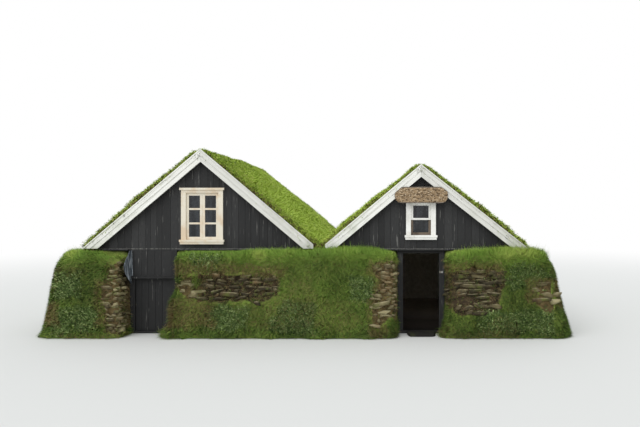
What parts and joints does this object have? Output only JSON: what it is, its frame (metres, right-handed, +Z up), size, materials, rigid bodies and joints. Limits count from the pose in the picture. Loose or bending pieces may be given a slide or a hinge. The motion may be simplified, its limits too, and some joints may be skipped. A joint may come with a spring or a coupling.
{
  "type": "turf house",
  "caption": "Turf house with boarded gables, white bargeboards, sod roofs and thick turf and stone walls; one low door swings, the other doorway stands open.",
  "frame": {"origin": "on the ground under the middle of the house", "axes": "+X along the front from the left gable to the right gable, +Y from front to back, +Z up"},
  "size_m": [11.385, 7.39, 4.0187],
  "materials": {
    "turf_wall": "grass, soil and field stones, rough",
    "roof_turf": "short bright grass, rough",
    "raw_wood": "sawn, aged and unpainted",
    "tarred_wood": "black tar on boards, weathered, matte",
    "white_paint": "white paint on wood, weathered grey in places",
    "cream_paint": "cream white paint on wood, satin",
    "weathered_wood": "bare grey wood with paint worn off",
    "window_glass": "old clear glass over a dark loft",
    "black_iron": "blackened, rough",
    "zinc_iron": "dull zinc",
    "grey_felt": "bitumen felt, blue grey, dull",
    "driftwood": "bare worn driftwood with grey rims",
    "field_stone": "rough grey stone"
  },
  "bodies": {
    "house": {"left_front_wall": "turf_wall", "middle_front_wall": "turf_wall", "right_front_wall": "turf_wall", "left_side_wall": "turf_wall", "shared_wall": "turf_wall", "right_side_wall": "turf_wall", "left_back_wall": "turf_wall", "right_back_wall": "turf_wall", "left_roof_turf": "roof_turf", "right_roof_turf": "roof_turf", "left_roof_frame": "raw_wood", "left_roof_boards": "raw_wood", "left_loft_floor": "raw_wood", "left_gable_boards": "tarred_wood", "left_back_gable": "tarred_wood", "left_upper_bargeboards": "white_paint", "left_lower_bargeboards": "white_paint", "left_back_bargeboards": "white_paint", "left_window_frame": "cream_paint", "left_casements": "cream_paint", "left_window_glass": "window_glass", "left_drip_boards": "tarred_wood", "left_door_frame": "tarred_wood", "left_door_panel": "tarred_wood", "left_door_hooks": "black_iron", "left_door_sheet": "grey_felt", "right_roof_frame": "raw_wood", "right_roof_boards": "raw_wood", "right_loft_floor": "raw_wood", "right_gable_boards": "tarred_wood", "right_back_gable": "tarred_wood", "right_upper_bargeboards": "white_paint", "right_lower_bargeboards": "white_paint", "right_back_bargeboards": "white_paint", "right_window_frame": "white_paint", "right_upper_sash": "white_paint", "right_lower_sash": "weathered_wood", "right_window_glass": "window_glass", "right_drip_board": "tarred_wood", "right_door_frame": "tarred_wood", "right_door_hasp": "zinc_iron", "name_plank": "driftwood", "doorstep": "field_stone"},
    "left_door": {"left_door": "tarred_wood", "left_door_straps": "black_iron"}
  },
  "joints": [
    {"name": "left_door_hinge", "type": "hinge", "parent": "house", "child": "left_door", "pos_m": [-3.734, -2.941, 0.6], "axis": [0, 0, 1], "range_deg": [0, 90]}
  ]
}
